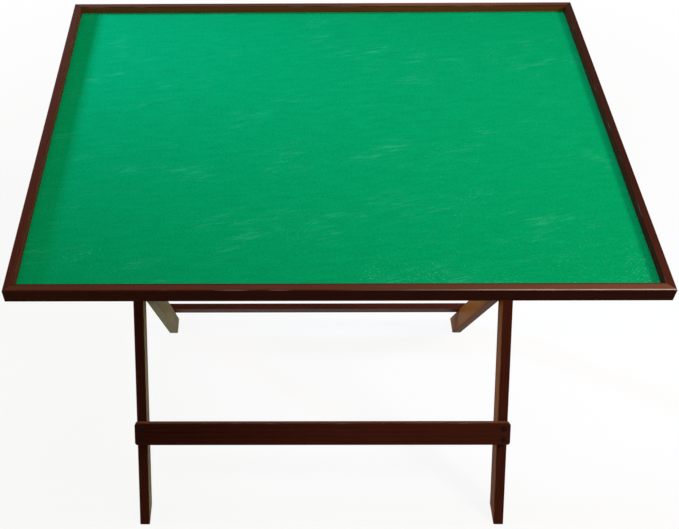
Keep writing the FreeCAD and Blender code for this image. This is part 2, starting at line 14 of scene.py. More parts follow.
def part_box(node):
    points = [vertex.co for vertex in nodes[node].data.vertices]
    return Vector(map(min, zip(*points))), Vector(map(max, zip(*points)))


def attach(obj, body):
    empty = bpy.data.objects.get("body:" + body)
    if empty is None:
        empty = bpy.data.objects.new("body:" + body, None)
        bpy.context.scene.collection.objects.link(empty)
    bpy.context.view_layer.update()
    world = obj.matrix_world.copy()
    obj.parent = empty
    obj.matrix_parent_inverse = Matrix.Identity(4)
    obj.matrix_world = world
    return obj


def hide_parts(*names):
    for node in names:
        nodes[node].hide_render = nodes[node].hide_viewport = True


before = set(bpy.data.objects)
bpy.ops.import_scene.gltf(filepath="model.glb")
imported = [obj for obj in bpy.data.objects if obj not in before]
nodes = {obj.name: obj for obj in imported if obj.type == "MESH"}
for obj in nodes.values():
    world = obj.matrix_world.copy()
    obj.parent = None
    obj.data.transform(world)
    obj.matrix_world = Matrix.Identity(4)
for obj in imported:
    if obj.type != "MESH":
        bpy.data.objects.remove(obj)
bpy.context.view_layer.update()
MM = 0.001


# ---------------------------------------------------------------- camera

PICTURE_WIDTH = 679
FOCAL_PIXELS = 949.4
AXIS_COLUMN = 273.6  # pixel column of the lens axis, which is left of the picture's middle
SENSOR = 36
CAMERA_PLACE = Vector((-0.0753, -1.1197, 1.6075))
CAMERA_DOWN, CAMERA_TURN, CAMERA_ROLL = 47.843, 0.554, -0.535  # degrees

camera_data = bpy.data.cameras.new("camera")
camera_data.sensor_width = SENSOR
camera_data.lens = FOCAL_PIXELS * SENSOR / PICTURE_WIDTH
camera_data.shift_x = 0.5 - AXIS_COLUMN / PICTURE_WIDTH
camera = bpy.data.objects.new("camera", camera_data)
bpy.context.scene.collection.objects.link(camera)
bpy.context.scene.camera = camera
camera.matrix_world = (
    Matrix.Translation(CAMERA_PLACE)
    @ Matrix.Rotation(math.radians(CAMERA_TURN), 4, "Z")
    @ Matrix.Rotation(math.radians(90 - CAMERA_DOWN), 4, "X")
    @ Matrix.Rotation(math.radians(CAMERA_ROLL), 4, "Z")
)


# ---------------------------------------------------------------- shader nodes

MIX_A, MIX_B = 6, 7  # a Mix node's inputs for colours
MIX_LOW, MIX_HIGH = 2, 3  # and for numbers
WHITE = "FFFFFF"


def linear(code):
    """The linear RGBA colour of an sRGB hex code such as "4A221A"."""
    coded = np.array([int(code[i:i + 2], 16) for i in (0, 2, 4)]) / 255
    return (*np.where(coded <= 0.04045, coded / 12.92, ((coded + 0.055) / 1.055) ** 2.4), 1.0)


def add(tree, kind, inputs=None, **settings):
    """A shader node with its settings. Each input, by name or number, is a value, another node's output, or
    a node, which stands for the first of its outputs that its settings leave in use."""
    made = tree.nodes.new(f"ShaderNode{kind}")
    for name, value in settings.items():
        setattr(made, name, value)
    for key, value in (inputs or {}).items():
        if isinstance(value, bpy.types.Node):
            value = next(output for output in value.outputs if output.enabled)
        if isinstance(value, bpy.types.NodeSocket):
            tree.links.new(value, made.inputs[key])
        else:
            made.inputs[key].default_value = value
    return made


def new_material(name):
    """An empty node material, its tree, and its texture coordinates."""
    material = bpy.data.materials.new(name)
    material.use_nodes = True
    material.node_tree.nodes.clear()
    return material, material.node_tree, add(material.node_tree, "TexCoord")


# ---------------------------------------------------------------- wood

ACROSS, DEEP, UP = Vector((1, 0, 0)), Vector((0, 1, 0)), Vector((0, 0, 1))

STAIN_DARK, STAIN_MID, STAIN_LIGHT = "3D1912", "55281C", "733B2C"
AMBER_PAINTED_LIGHT, PALE_PAINTED_REFLECTION, PAINTED_WALL_LIGHT = "8C4F14", "84704A", "8C5530"  # painted light and reflection on inner sides: amber on the right legs, pale on the left legs, lighter brown on the back rim's inner wall
# In turn: painted shade, painted sheen, the pale of rubbed arrises and of a painted highlight, and dark glue
# in the mitres.
PAINTED_SHADE, PAINTED_SHEEN, WORN_WOOD_AND_HIGHLIGHT, GLUE_LINE = "1E0D07", "A56B4E", "F2DACD", "1A0806"
LACQUER_TINT = "ECA68B"
# The lacquer's bloom: how strong its haze is at a glancing angle, and the haze's colour.
WARM_BLOOM, PALE_BLOOM, AMBER_BLOOM = (0.35, "FFC078"), (1.0, "E6F4C6"), (0.3, "FF9A3C")

STREAK_WIDTH, STREAK_STRETCH = 4 * MM, 40
WAVE_PERIOD = 2 * math.pi / 20  # a Wave texture's ring width at scale 1
RING_WIDTH, RING_SHARE = 5 * MM, 0.15
PITH_DISTANCE, PITH_STRETCH = 90 * MM, 20
PORE_WIDTH, PORE_STRETCH = 0.7 * MM, 22  # drawn twice as wide as real pores, so that they show
PORE_SHARE, PORE_DEPTH = 0.5, 0.8
BLOTCHES_PER_METRE, BLOTCH_SHARE = 11, 0.5
END_GRAIN_SHARE, END_GRAIN_ROUGHER = 0.7, 0.2
SATIN_SMOOTH, SATIN_ROUGH = 0.36, 0.46  # roughness of the lacquer
WOOD_RELIEF = 0.05 * MM
SEED_STEP = Vector((0.137, 0.291, 0.523))

# Patches of rubbed arris, whose noise also makes the painted highlight uneven.
PATCH_LENGTH, PATCH_STRETCH, RUB_SHARE = 22 * MM, 2, 0.15
HIGHLIGHT_LEAST = 0.55  # of the painted highlight on an arris, where it is least
# Painted sheen on a highlit board's face: its share all along, and how much of it follows the highlight.
PAINTED_SHEEN_SHARE, SHEEN_ALONG_HIGHLIGHT = 0.3, 0.7
# The line of painted shade along the rims' inner edge.
SHADE_LINE_FULL, SHADE_LINE_ENDS, SHADE_LINE_SHARE = 1.0 * MM, 2.6 * MM, 0.85
SIDE_LEAST, SIDE_MOST = 0.35, 0.9  # of an inner side's painted colour, in dark streaks and in light ones
SHADE_FROM, SHADE_TO = -0.32, -0.12  # the y between which a board's painted shade deepens from a third to all
GLUE_FULL, GLUE_ENDS, GLUE_SHARE = 0.15 * MM, 0.45 * MM, 0.8


def wood_figure(tree, place, upright, seed):
    """The figure of a board that was cut from a place of its own: lengthwise streaks, growth rings about a
    pith outside it, short pores, broad blotches, and a patch noise for rubbed arrises and for an uneven
    painted highlight."""
    board = add(tree, "Mapping", {
        "Vector": place.outputs["Object"], "Rotation": upright, "Location": seed * SEED_STEP})
    drawn = add(tree, "VectorMath", {0: board, 1: (1, 1, 1 / STREAK_STRETCH)}, operation="MULTIPLY")
    streak = add(tree, "TexNoise", {
        "Vector": drawn, "Scale": 1 / STREAK_WIDTH, "Detail": 6, "Roughness": 0.62})
    pith = add(tree, "Mapping", {
        "Vector": place.outputs["Object"], "Rotation": upright,
        "Location": (PITH_DISTANCE, PITH_DISTANCE / 3, 0), "Scale": (1, 1, 1 / PITH_STRETCH)})
    rings = add(tree, "TexWave", {
        "Vector": pith, "Scale": WAVE_PERIOD / RING_WIDTH, "Distortion": 3, "Detail": 2,
        "Detail Scale": 0.4}, wave_type="RINGS", rings_direction="Z", wave_profile="SIN")
    pored = add(tree, "VectorMath", {0: board, 1: (1, 1, 1 / PORE_STRETCH)}, operation="MULTIPLY")
    pore_field = add(tree, "TexNoise", {"Vector": pored, "Scale": 1 / PORE_WIDTH, "Detail": 1})
    pores = add(tree, "MapRange", {"Value": pore_field, "From Min": 0.60, "From Max": 0.70})
    blotch = add(tree, "TexNoise", {"Vector": board, "Scale": BLOTCHES_PER_METRE, "Detail": 2})
    patch_space = add(tree, "Mapping", {"Vector": board, "Scale": (1, 1, 1 / PATCH_STRETCH)})
    wear_and_highlight_noise = add(tree, "TexNoise", {"Vector": patch_space, "Scale": 1 / PATCH_LENGTH, "Detail": 5})
    return streak, rings.outputs["Fac"], pores, blotch, wear_and_highlight_noise


def painted_side_share(tree, place, direction, streaky):
    """How much of its own painted colour an inner side shows, streak by streak: the painted light, shade and
    reflection that side catches. A side is an inner one where its normal and its place along a direction
    from the table's middle have a product below zero."""
    from_middle = add(tree, "VectorMath", {0: place.outputs["Object"], 1: direction}, operation="MULTIPLY")
    inwards = add(tree, "VectorMath", {0: place.outputs["Normal"], 1: from_middle}, operation="DOT_PRODUCT")
    inner = add(tree, "MapRange", {"Value": inwards, "From Min": -0.10, "From Max": -0.25})
    by_streak = add(tree, "MapRange", {"Value": streaky, "To Min": SIDE_LEAST, "To Max": SIDE_MOST})
    return add(tree, "Math", {0: inner, 1: by_streak}, operation="MULTIPLY")


def highlight_stretch(tree, spot, stretch):
    """One along a painted highlight's stretch on a board, which rises between the first two x of a stretch
    and falls between the last two."""
    begin, full, lessen, end = stretch
    rise = add(tree, "MapRange", {
        "Value": spot.outputs["X"], "From Min": begin, "From Max": full}, interpolation_type="SMOOTHSTEP")
    fall = add(tree, "MapRange", {
        "Value": spot.outputs["X"], "From Min": end, "From Max": lessen}, interpolation_type="SMOOTHSTEP")
    return add(tree, "Math", {0: rise, 1: fall}, operation="MULTIPLY")


def painted_sheen_share(tree, faced, highlight):
    """How much painted sheen a highlit board's flat face gets: a little all along, and more along the
    highlight.
    """
    flat_face = add(tree, "MapRange", {
        "Value": faced.outputs["Y"], "From Min": 0.9, "From Max": 0.98, "To Max": PAINTED_SHEEN_SHARE})
    highlit = add(tree, "Math", {
        0: highlight, 1: SHEEN_ALONG_HIGHLIGHT, 2: 1 - SHEEN_ALONG_HIGHLIGHT}, operation="MULTIPLY_ADD")
    return add(tree, "Math", {0: flat_face, 1: highlit}, operation="MULTIPLY")


def shade_line_share(tree, spot, faced):
    """How dark the line of painted shade is, by the distance from the inner wall of the front or back rim, on
    what faces up."""
    from_middle = add(tree, "Math", {0: spot.outputs["Y"]}, operation="ABSOLUTE")
    from_wall = add(tree, "Math", {0: from_middle, 1: abs(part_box("front_rim")[1].y)}, operation="SUBTRACT")
    line = add(tree, "MapRange", {
        "Value": from_wall, "From Min": SHADE_LINE_ENDS, "From Max": SHADE_LINE_FULL, "To Max": SHADE_LINE_SHARE})
    upper = add(tree, "MapRange", {"Value": faced.outputs["Y"], "From Min": 0.3, "From Max": 0.6})
    return add(tree, "Math", {0: line, 1: upper}, operation="MULTIPLY")


def wear_and_highlight_share(tree, place, faced, wear_and_highlight_noise, highlight):
    """How pale the arrises are, where the normal leans to a side and to the face at once: stain rubbed off a
    little in patches, and a painted highlight all along a highlit stretch on the arris away from the table's
    middle."""
    both_ways = add(tree, "Math", {0: faced.outputs["X"], 1: faced.outputs["Y"]}, operation="MULTIPLY")
    arris = add(tree, "MapRange", {"Value": both_ways, "From Min": 0.3, "From Max": 0.48})
    wear_and_highlight = add(tree, "MapRange", {
        "Value": wear_and_highlight_noise, "From Min": 0.54, "From Max": 0.72, "To Max": RUB_SHARE})
    if highlight:
        uneven = add(tree, "MapRange", {
            "Value": wear_and_highlight_noise, "From Min": 0.3, "From Max": 0.65, "To Min": HIGHLIGHT_LEAST})
        from_middle = add(tree, "VectorMath", {0: place.outputs["Object"], 1: DEEP}, operation="MULTIPLY")
        outwards = add(tree, "VectorMath", {
            0: place.outputs["Normal"], 1: from_middle}, operation="DOT_PRODUCT")
        outer = add(tree, "MapRange", {"Value": outwards, "From Min": -0.02, "From Max": 0.08})
        outer_uneven = add(tree, "Math", {0: outer, 1: uneven}, operation="MULTIPLY")
        highlit = add(tree, "Math", {0: highlight, 1: outer_uneven}, operation="MULTIPLY")
        wear_and_highlight = add(tree, "Math", {0: wear_and_highlight, 1: highlit}, operation="MAXIMUM")
    return add(tree, "Math", {0: arris, 1: wear_and_highlight}, operation="MULTIPLY")


def mitre_share(tree, spot):
    """How dark the glue line is at the tray's mitres, where both distances from its outline are the same."""
    low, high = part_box("front_rim")
    from_side = add(tree, "Math", {0: spot.outputs["X"]}, operation="ABSOLUTE")
    from_front = add(tree, "Math", {0: spot.outputs["Y"]}, operation="ABSOLUTE")
    apart = add(tree, "Math", {0: from_side, 1: from_front}, operation="SUBTRACT")
    off = add(tree, "Math", {0: apart, 1: high.x + low.y}, operation="SUBTRACT")
    gap = add(tree, "Math", {0: off}, operation="ABSOLUTE")
    return add(tree, "MapRange", {
        "Value": gap, "From Min": GLUE_ENDS, "From Max": GLUE_FULL, "To Max": GLUE_SHARE})


def stained_hardwood(name, along, face, seed, shade_depth, bloom, highlight_x, painted_side, mitred):
    """Straight-grained hardwood, stained dark red-brown and sprayed with tinted satin lacquer. The eye gets
    fine lengthwise streaks, faint growth rings, short dark pores, darker end grain, arrises where the stain
    is rubbed thin here and there, and a soft gloss that turns hazy at a glancing angle, by the bloom. The
    shade depth is the share of painted shade at a board's back. A board with a highlight stretch gets a
    painted highlight on its outer arris and a painted sheen on its face between four x, with a line of
    painted shade along its inner edge. An inner side, which faces the table's middle along a direction,
    gets a colour of its own, which paints the light, shade and reflection that side catches. A mitred board
    ends in a hairline of dark glue. The pattern's Z runs along the grain and its Y out of the board's face;
    a round rail has no face."""
    material, tree, place = new_material(name)
    spot = add(tree, "SeparateXYZ", {"Vector": place.outputs["Object"]})
    grain = Vector(along).normalized()
    outward = Vector(face or UP).normalized()
    upright = Matrix((outward.cross(grain), outward, grain)).to_euler()
    streak, rings, pores, blotch, wear_and_highlight_noise = wood_figure(tree, place, upright, seed)
    turned_normal = add(tree, "Mapping", {
        "Vector": place.outputs["Normal"], "Rotation": upright}, vector_type="NORMAL")
    facing = add(tree, "VectorMath", {0: turned_normal}, operation="ABSOLUTE")
    faced = add(tree, "SeparateXYZ", {"Vector": facing})
    end_grain = add(tree, "MapRange", {
        "Value": faced.outputs["Z"], "From Min": 0.55, "From Max": 0.9, "To Max": END_GRAIN_SHARE})

    streaky = add(tree, "MapRange", {"Value": streak, "From Min": 0.15, "From Max": 0.85})
    ring_share = add(tree, "Math", {0: rings, 1: RING_SHARE}, operation="MULTIPLY")
    blotch_share = add(tree, "MapRange", {
        "Value": blotch, "From Min": 0.3, "From Max": 0.7, "To Max": BLOTCH_SHARE})
    pore_share = add(tree, "Math", {0: pores, 1: PORE_SHARE}, operation="MULTIPLY")
    dark_share = add(tree, "Math", {0: pore_share, 1: end_grain}, operation="MAXIMUM")
    layers = [(streaky, STAIN_MID), (ring_share, STAIN_LIGHT), (blotch_share, STAIN_MID),
              (dark_share, STAIN_DARK)]
    # Painted shade, a third of it at the front and all of it from there back.
    if shade_depth:
        shaded = add(tree, "MapRange", {
            "Value": spot.outputs["Y"], "From Min": SHADE_FROM, "From Max": SHADE_TO,
            "To Min": shade_depth / 3, "To Max": shade_depth})
        layers.append((shaded, PAINTED_SHADE))
    # An inner side's painted light, shade and reflection.
    if painted_side:
        direction, side_paint = painted_side
        layers.append((painted_side_share(tree, place, direction, streaky), side_paint))
    highlight = None
    # A highlit board: painted sheen on its face and a line of painted shade along its inner edge.
    if highlight_x:
        highlight = highlight_stretch(tree, spot, highlight_x)
        layers.append((painted_sheen_share(tree, faced, highlight), PAINTED_SHEEN))
        layers.append((shade_line_share(tree, spot, faced), PAINTED_SHADE))
    # Rubbed arrises, and a painted highlight along a highlit stretch.
    if face:
        layers.append((wear_and_highlight_share(tree, place, faced, wear_and_highlight_noise, highlight), WORN_WOOD_AND_HIGHLIGHT))
    if mitred:
        layers.append((mitre_share(tree, spot), GLUE_LINE))
    colour = linear(STAIN_DARK)
    for share, stain in layers:
        colour = add(tree, "Mix", {0: share, MIX_A: colour, MIX_B: linear(stain)}, data_type="RGBA")

    gloss = add(tree, "MapRange", {
        "Value": streak, "From Min": 0.3, "From Max": 0.7, "To Min": SATIN_SMOOTH, "To Max": SATIN_ROUGH})
    roughness = add(tree, "Math", {0: end_grain, 1: END_GRAIN_ROUGHER, 2: gloss}, operation="MULTIPLY_ADD")
    relief = add(tree, "Math", {0: pores, 1: -PORE_DEPTH, 2: streak}, operation="MULTIPLY_ADD")
    bump = add(tree, "Bump", {"Height": relief, "Strength": 0.3, "Distance": WOOD_RELIEF})
    haze, haze_colour = bloom
    shader = add(tree, "BsdfPrincipled", {
        "Base Color": colour, "Roughness": roughness, "Normal": bump, "Specular IOR Level": 0.01,
        "Specular Tint": linear(LACQUER_TINT), "Sheen Weight": haze, "Sheen Roughness": 0.3,
        "Sheen Tint": linear(haze_colour)})
    add(tree, "OutputMaterial", {"Surface": shader})
    return material


def middle(node):
    """The middle of a node's box."""
    low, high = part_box(node)
    return (low + high) / 2


CROSSING = middle("left_pivot_bolt")
OUTER_FRAME_RUN = (CROSSING - middle("hinge_dowel")) * Vector((0, 1, 1))
INNER_FRAME_RUN = (CROSSING - middle("catch_dowel")) * Vector((0, 1, 1))
OUTER_FRAME_FACE = ACROSS.cross(OUTER_FRAME_RUN)
INNER_FRAME_FACE = ACROSS.cross(INNER_FRAME_RUN)
BOARDS = {  # the grain's direction and a face's
    "front_rim": (ACROSS, UP), "back_rim": (ACROSS, UP), "left_rim": (DEEP, UP), "right_rim": (DEEP, UP),
    "left_bearer": (DEEP, UP), "right_bearer": (DEEP, UP), "front_batten": (ACROSS, UP),
    "rear_batten": (ACROSS, UP), "left_catch_block": (DEEP, UP), "right_catch_block": (DEEP, UP),
    "front_stretcher": (ACROSS, OUTER_FRAME_FACE), "rear_stretcher": (ACROSS, INNER_FRAME_FACE),
    "hinge_dowel": (ACROSS, None), "catch_dowel": (ACROSS, None),
    "left_outer_leg": (OUTER_FRAME_RUN, ACROSS), "right_outer_leg": (OUTER_FRAME_RUN, ACROSS),
    "left_inner_leg": (INNER_FRAME_RUN, ACROSS), "right_inner_leg": (INNER_FRAME_RUN, ACROSS),
}
# Painted shade: the right rim is darker, less so at its front end.
SHADED_BOARDS = {"right_rim": 0.62}
BLOOMED = {
    "left_outer_leg": PALE_BLOOM, "left_inner_leg": PALE_BLOOM,
    "right_outer_leg": AMBER_BLOOM, "right_inner_leg": AMBER_BLOOM}
HIGHLIT_BOARDS = {  # the x where its painted highlight and sheen begin, are full, lessen and end; the front rim's go on past its end
    "front_rim": (-0.05, 0.40, 0.8, 0.9), "back_rim": (0.0, 0.14, 0.26, 0.42)}
PAINTED_SIDES = {
    # Painted light on the back rim's inner wall, painted shade on the right rim's.
    "back_rim": (DEEP, PAINTED_WALL_LIGHT), "right_rim": (ACROSS, PAINTED_SHADE),
    # Painted reflection and light on the legs' inner sides: pale on the left legs, amber on the right.
    "left_outer_leg": (ACROSS, PALE_PAINTED_REFLECTION), "right_outer_leg": (ACROSS, AMBER_PAINTED_LIGHT),
    "left_inner_leg": (ACROSS, PALE_PAINTED_REFLECTION), "right_inner_leg": (ACROSS, AMBER_PAINTED_LIGHT)}
for seed, (node, (along, face)) in enumerate(BOARDS.items(), start=1):
    nodes[node].data.materials[0] = stained_hardwood(
        f"stained_hardwood_{node}", along, face, seed, SHADED_BOARDS.get(node, 0),
        BLOOMED.get(node, WARM_BLOOM), HIGHLIT_BOARDS.get(node), PAINTED_SIDES.get(node), node.endswith("_rim"))

PLY_PALE, PLY_BROWN = "D2B184", "A98659"
PLY_FIGURES_PER_METRE, PLY_FIGURE_STRETCH = 14, 6.25
PLY_WAVES, PLY_WAVE_SHARE = 46, 0.16
PLY_FIBRE_WIDTH, PLY_FIBRE_STRETCH = 0.9 * MM, 20


def birch_plywood():
    """Thin birch plywood, sanded and unstained, seen only from below. The eye gets a pale rotary-cut figure
    in wide soft waves along the panel, fine brown flecks and hardly any gloss."""
    material, tree, place = new_material("birch_plywood")
    drawn = add(tree, "VectorMath", {
        0: place.outputs["Object"], 1: (1 / PLY_FIGURE_STRETCH, 1, 1)}, operation="MULTIPLY")
    figure = add(tree, "TexNoise", {
        "Vector": drawn, "Scale": PLY_FIGURES_PER_METRE, "Detail": 3, "Roughness": 0.5, "Distortion": 0.6})
    bands = add(tree, "Math", {0: figure, 1: PLY_WAVES}, operation="MULTIPLY")
    waves = add(tree, "Math", {0: bands}, operation="SINE")
    fine = add(tree, "VectorMath", {
        0: place.outputs["Object"], 1: (1 / PLY_FIBRE_STRETCH, 1, 1)}, operation="MULTIPLY")
    fibre = add(tree, "TexNoise", {"Vector": fine, "Scale": 1 / PLY_FIBRE_WIDTH, "Detail": 3})
    tone = add(tree, "Math", {0: waves, 1: PLY_WAVE_SHARE, 2: fibre}, operation="MULTIPLY_ADD")
    share = add(tree, "MapRange", {"Value": tone, "From Min": 0.2, "From Max": 0.8})
    colour = add(tree, "Mix", {
        0: share, MIX_A: linear(PLY_BROWN), MIX_B: linear(PLY_PALE)}, data_type="RGBA")
    bump = add(tree, "Bump", {"Height": fibre, "Strength": 0.3, "Distance": WOOD_RELIEF})
    shader = add(tree, "BsdfPrincipled", {
        "Base Color": colour, "Roughness": 0.62, "Specular IOR Level": 0.3, "Normal": bump})
    add(tree, "OutputMaterial", {"Surface": shader})
    return material


nodes["base_panel"].data.materials[0] = birch_plywood()


# ---------------------------------------------------------------- felt

FELT_DARK, FELT_LIGHT, FELT_PALE, FELT_SHEEN = "01824B", "05AE69", "5CD4A6", "2FB47C"
FIBRE_CLUMP, FELT_RELIEF = 3 * MM, 0.2 * MM
NAP_WIDTH, NAP_STRETCH, NAP_TURN, NAP_SHARE = 9 * MM, 4, 0.1, 0.3
LINT = (  # turn, stretch, size in millimetres, and how rare
    (0.0, 1.0, 1.7, 0.76), (0.25, 3.5, 1.2, 0.755), (-0.2, 3, 1.2, 0.755))
LINT_RARER, LINT_COMMONER, LINT_SHARE = 0.12, 0.075, 0.5
USED_PATCHES_PER_METRE = 9
DRAG_TURN = 0.2
WISP_WIDTH, WISP_STRETCH, WISP_SHARE = 4 * MM, 8, 0.32
SWEEPS_PER_METRE, SWEEP_STRETCH = 26, 2.5


def lint_share(tree, place):
    """How much lint there is: round specks and short strokes, most in the patches that are used most, towards
    the front and the right."""
    where = add(tree, "TexNoise", {
        "Vector": place.outputs["Object"], "Scale": USED_PATCHES_PER_METRE, "Detail": 3})
    spot = add(tree, "SeparateXYZ", {"Vector": place.outputs["Object"]})
    near_seat = add(tree, "MapRange", {
        "Value": spot.outputs["Y"], "From Min": -0.16, "From Max": -0.31, "To Max": 0.16})
    near_hand = add(tree, "MapRange", {
        "Value": spot.outputs["X"], "From Min": -0.10, "From Max": 0.30, "To Min": -0.03, "To Max": 0.05})
    sat_at = add(tree, "Math", {0: near_seat, 1: near_hand}, operation="ADD")
    used = add(tree, "Math", {0: where, 1: sat_at}, operation="ADD")
    most = None
    for turn, stretch, size, rare in LINT:
        strewn = add(tree, "Mapping", {
            "Vector": place.outputs["Object"], "Rotation": (0, 0, turn), "Scale": (stretch, 1, 1),
            "Location": (size, turn, 0)}, vector_type="TEXTURE")
        tuft = add(tree, "TexNoise", {"Vector": strewn, "Scale": 1 / (size * MM), "Detail": 1})
        least = add(tree, "MapRange", {
            "Value": used, "From Min": 0.44, "From Max": 0.74, "To Min": rare + LINT_RARER,
            "To Max": rare - LINT_COMMONER})
        over = add(tree, "Math", {0: tuft, 1: least}, operation="SUBTRACT")
        lint = add(tree, "MapRange", {"Value": over, "From Max": 0.06, "To Max": LINT_SHARE})
        most = add(tree, "Math", {0: lint, 1: most}, operation="MAXIMUM") if most else lint
    return most


def drag_share(tree, place):
    """How scuffed the nap is where boards were dragged across it: thin broken wisps in a few long sweeps."""
    dragged = add(tree, "Mapping", {
        "Vector": place.outputs["Object"], "Rotation": (0, 0, DRAG_TURN),
        "Scale": (WISP_STRETCH, 1, 1)}, vector_type="TEXTURE")
    wisp = add(tree, "TexNoise", {
        "Vector": dragged, "Scale": 1 / WISP_WIDTH, "Detail": 5, "Roughness": 0.75})
    drag = add(tree, "MapRange", {
        "Value": wisp, "From Min": 0.5, "From Max": 0.75, "To Max": WISP_SHARE})
    swept = add(tree, "Mapping", {
        "Vector": place.outputs["Object"], "Rotation": (0, 0, DRAG_TURN),
        "Scale": (SWEEP_STRETCH, 1, 1), "Location": (0.31, 0.77, 0)}, vector_type="TEXTURE")
    sweep = add(tree, "TexNoise", {"Vector": swept, "Scale": SWEEPS_PER_METRE, "Detail": 2})
    here = add(tree, "MapRange", {"Value": sweep, "From Min": 0.56, "From Max": 0.72})
    return add(tree, "Math", {0: drag, 1: here}, operation="MULTIPLY")


def wool_felt():
    """Pressed wool felt, dyed green, glued down and brushed from side to side. The eye gets no gloss, a fine
    fibre mottle, faint streaks of brushed nap, pale lint, and scuffs that boards have left. The mottle is
    drawn coarser than wool's fibres, so that it shows."""
    material, tree, place = new_material("wool_felt")
    fibre = add(tree, "TexNoise", {
        "Vector": place.outputs["Object"], "Scale": 1 / FIBRE_CLUMP, "Detail": 6, "Roughness": 0.75})
    brushed = add(tree, "Mapping", {
        "Vector": place.outputs["Object"], "Rotation": (0, 0, NAP_TURN),
        "Scale": (NAP_STRETCH, 1, 1)}, vector_type="TEXTURE")
    nap = add(tree, "TexNoise", {
        "Vector": brushed, "Scale": 1 / NAP_WIDTH, "Detail": 4, "Roughness": 0.6})
    tone = add(tree, "Math", {0: nap, 1: NAP_SHARE, 2: fibre}, operation="MULTIPLY_ADD")
    mottle = add(tree, "MapRange", {"Value": tone, "From Min": 0.35, "From Max": 0.95})
    dyed = add(tree, "Mix", {
        0: mottle, MIX_A: linear(FELT_DARK), MIX_B: linear(FELT_LIGHT)}, data_type="RGBA")
    paler = add(tree, "Math", {0: lint_share(tree, place), 1: drag_share(tree, place)}, operation="MAXIMUM")
    colour = add(tree, "Mix", {0: paler, MIX_A: dyed, MIX_B: linear(FELT_PALE)}, data_type="RGBA")
    bump = add(tree, "Bump", {"Height": fibre, "Strength": 0.5, "Distance": FELT_RELIEF})
    shader = add(tree, "BsdfPrincipled", {
        "Base Color": colour, "Roughness": 1.0, "Specular IOR Level": 0.0, "Sheen Weight": 0.15,
        "Sheen Roughness": 0.5, "Sheen Tint": linear(FELT_SHEEN), "Normal": bump})
    add(tree, "OutputMaterial", {"Surface": shader})
    return material


SHARP_ANGLE = 32  # degrees between two faces, past which their edge isn't smoothed


def put(name, shape, material, body, replaced):
    """A mesh piece from a shape, its array of points and lists of faces, in the place of one CAD node."""
    points, faces = shape
    mesh = bpy.data.meshes.new(name)
    mesh.from_pydata(points.tolist(), [], faces)
    mesh.validate()
    mesh.shade_smooth()
    mesh.set_sharp_from_angle(angle=math.radians(SHARP_ANGLE))
    mesh.materials.append(material)
    piece = bpy.data.objects.new(name, mesh)
    bpy.context.scene.collection.objects.link(piece)
    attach(piece, body)
    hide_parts(replaced)
    return piece


def quads(rows, columns, wrap_rows=False, wrap_columns=False):
    """The faces of a grid of points stored row by row; a wrapped side joins its last line to its first."""
    row = np.arange(rows if wrap_rows else rows - 1)[:, None]
    column = np.arange(columns if wrap_columns else columns - 1)[None, :]
    below, right = (row + 1) % rows, (column + 1) % columns
    start, stop = row * columns, below * columns
    corners = np.broadcast_arrays(start + column, start + right, stop + right, stop + column)
    return np.stack(corners, axis=-1).reshape(-1, 4)


FELT_CELLS = (140, 106)
FELT_EASE = 0.7 * MM
FELT_EASE_LINES = np.array([0, 0.08, 0.3, 0.62])  # the grid's lines over the eased edge, as shares of it
FELT_WAVE = 0.12 * MM


def felt_lining():
    """The glued sheet. Its surface is a grid over the sheet's plan, whose height is the felt's own less
    FELT_WAVE and a quarter-round fall at the cut edge, plus three sine waves 13 to 33 cm long that come to
    FELT_WAVE at most. A wall goes straight down from its outline to the same grid laid flat on the panel."""
    low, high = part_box("felt_surface")
    lines = []
    for count, start, stop in ((FELT_CELLS[0], low.x, high.x), (FELT_CELLS[1], low.y, high.y)):
        inside = np.linspace(start + FELT_EASE, stop - FELT_EASE, count)
        edge = FELT_EASE * FELT_EASE_LINES
        lines.append(np.concatenate([start + edge, inside, stop - edge[::-1]]))
    x, y = np.meshgrid(*lines, indexing="ij")
    gap = np.minimum(np.minimum(x - low.x, high.x - x), np.minimum(y - low.y, high.y - y))
    fall = FELT_EASE * (1 - np.sqrt(np.clip(1 - (1 - np.clip(gap / FELT_EASE, 0, 1)) ** 2, 0, 1)))
    wave = FELT_WAVE / 3 * (
        np.sin(17 * x + 9 * y) + np.sin(31 * y - 12 * x + 1.3) + np.sin(47 * x + 2.1) * np.cos(39 * y))
    top = np.stack([x, y, high.z - FELT_WAVE - fall + wave], axis=-1)
    bottom = top * (1, 1, 0) + (0, 0, low.z)
    rows, columns = x.shape
    under = quads(rows, columns)
    index = np.arange(rows * columns).reshape(rows, columns)
    rim = np.concatenate([index[:-1, 0], index[-1, :-1], index[:0:-1, -1], index[0, :0:-1]])
    following = np.roll(rim, -1)
    wall = np.stack([rim, rim + rows * columns, following + rows * columns, following], axis=-1)
    points = np.concatenate([top.reshape(-1, 3), bottom.reshape(-1, 3)])
    faces = np.concatenate([under[:, ::-1], under + rows * columns, wall]).tolist()
    piece = put("felt_lining", (points, faces), wool_felt(), "tray", "felt_surface")


felt_lining()


# ---------------------------------------------------------------- hardware

ZINC_DULL, ZINC_BRIGHT = "AEB2B4", "D3D5D2"
ZINC_CLOUD, TUMBLE_MARK, TUMBLE_RELIEF = 4 * MM, 0.5 * MM, 0.02 * MM
COVER_DARK, COVER_LIGHT = "1C0F0B", "301C14"
FLOW_WIDTH, SPARK_GRAIN, SPARK_RELIEF = 6 * MM, 0.3 * MM, 0.03 * MM  # the grain is drawn coarse, to show


